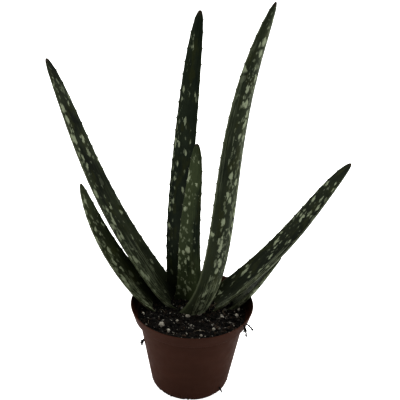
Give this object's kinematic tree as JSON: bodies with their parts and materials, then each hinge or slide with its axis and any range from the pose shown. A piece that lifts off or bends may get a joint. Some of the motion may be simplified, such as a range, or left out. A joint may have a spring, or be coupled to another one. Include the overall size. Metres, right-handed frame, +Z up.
{
  "type": "potted aloe plant",
  "caption": "Young aloe with long fleshy channelled leaves fanning from one crown, set in gritty soil in a tapered round nursery pot with a wide collar",
  "frame": {"origin": "Centre of the pot's underside, on the surface that it stands on", "axes": "+Z up along the pot's axis; -Y towards the side that the leaves are seen from; +X to the right of that view, the way the two right-hand leaves point"},
  "size_m": [0.2832, 0.12, 0.4138],
  "materials": {
    "pot_plastic": "moulded terracotta-brown plastic with a soft sheen and light dust",
    "soil": "dark damp peat and bark, matt",
    "stem": "pale buried plant tissue, matt",
    "leaf": "waxy dark green skin with pale flecks, satin",
    "perlite": "off-white porous grain, matt"
  },
  "bodies": {
    "root": {"pot": "pot_plastic", "soil": "soil", "stem": "stem", "leaf_centre_short": "leaf", "leaf_front_tall": "leaf", "leaf_back_tall": "leaf", "leaf_left_long": "leaf", "leaf_right_long": "leaf", "leaf_left_small": "leaf", "leaf_right_small": "leaf", "perlite_1": "perlite", "perlite_2": "perlite", "perlite_3": "perlite", "perlite_4": "perlite", "perlite_5": "perlite", "perlite_6": "perlite", "perlite_7": "perlite", "perlite_8": "perlite", "perlite_9": "perlite", "perlite_10": "perlite"}
  },
  "joints": []
}
